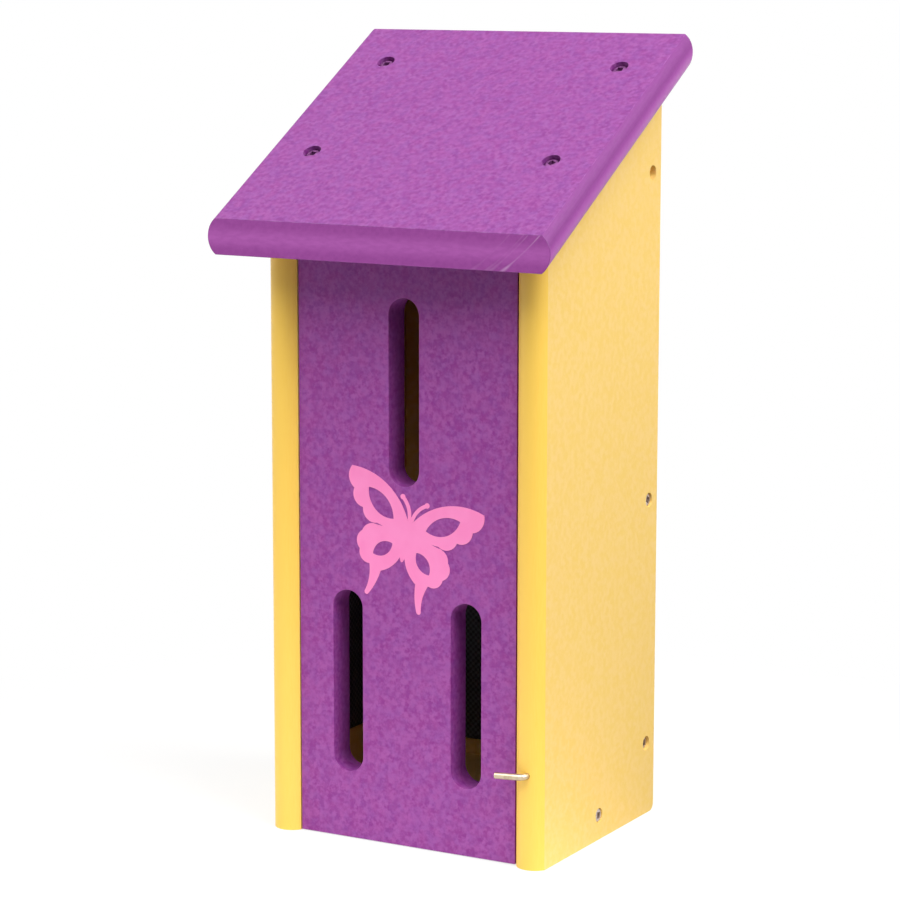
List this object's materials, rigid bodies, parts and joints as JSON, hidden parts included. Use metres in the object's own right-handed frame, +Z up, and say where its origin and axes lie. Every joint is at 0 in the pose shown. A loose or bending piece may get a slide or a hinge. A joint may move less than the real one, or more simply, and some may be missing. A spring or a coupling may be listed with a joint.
{
  "type": "butterfly house",
  "caption": "Tall narrow butterfly house of plastic boards with a pitched roof, a slotted front door that swings up on top pivots, a small turn hook that keeps it shut, and black climbing mats inside.",
  "frame": {"origin": "on the ground, under the middle of the house's box", "axes": "+Z up, +Y to the back, +X to the right of someone facing the door"},
  "size_m": [0.1932, 0.1562, 0.41],
  "materials": {
    "purple_board": "mottled matte recycled plastic board",
    "yellow_board": "matte recycled plastic board",
    "black_mat": "coarse woven black plastic",
    "pink_vinyl": "smooth cut vinyl sheet",
    "steel": "plain screw steel",
    "brass": "drawn brass wire"
  },
  "bodies": {
    "house": {"left_side": "yellow_board", "right_side": "yellow_board", "back_panel": "yellow_board", "floor_panel": "yellow_board", "roof_panel": "purple_board", "back_climbing_mat": "black_mat", "left_climbing_mat": "black_mat", "right_climbing_mat": "black_mat", "left_upper_back_screw": "steel", "left_middle_back_screw": "steel", "left_lower_back_screw": "steel", "left_floor_screw": "steel", "right_upper_back_screw": "steel", "right_middle_back_screw": "steel", "right_lower_back_screw": "steel", "right_floor_screw": "steel", "front_left_roof_screw": "steel", "back_left_roof_screw": "steel", "front_right_roof_screw": "steel", "back_right_roof_screw": "steel"},
    "door": {"front_door": "purple_board", "butterfly_decal": "pink_vinyl", "left_pivot_screw": "steel", "right_pivot_screw": "steel"},
    "latch": {"latch_hook": "brass"}
  },
  "joints": [
    {"name": "door_swing", "type": "hinge", "parent": "house", "child": "door", "pos_m": [0, -0.03901, 0.311], "axis": [-1, 0, 0], "range_deg": [0, 60]},
    {"name": "latch_turn", "type": "hinge", "parent": "house", "child": "latch", "pos_m": [0.07144, -0.05, 0.0484], "axis": [0, 1, 0], "range_deg": [0, 90]}
  ]
}
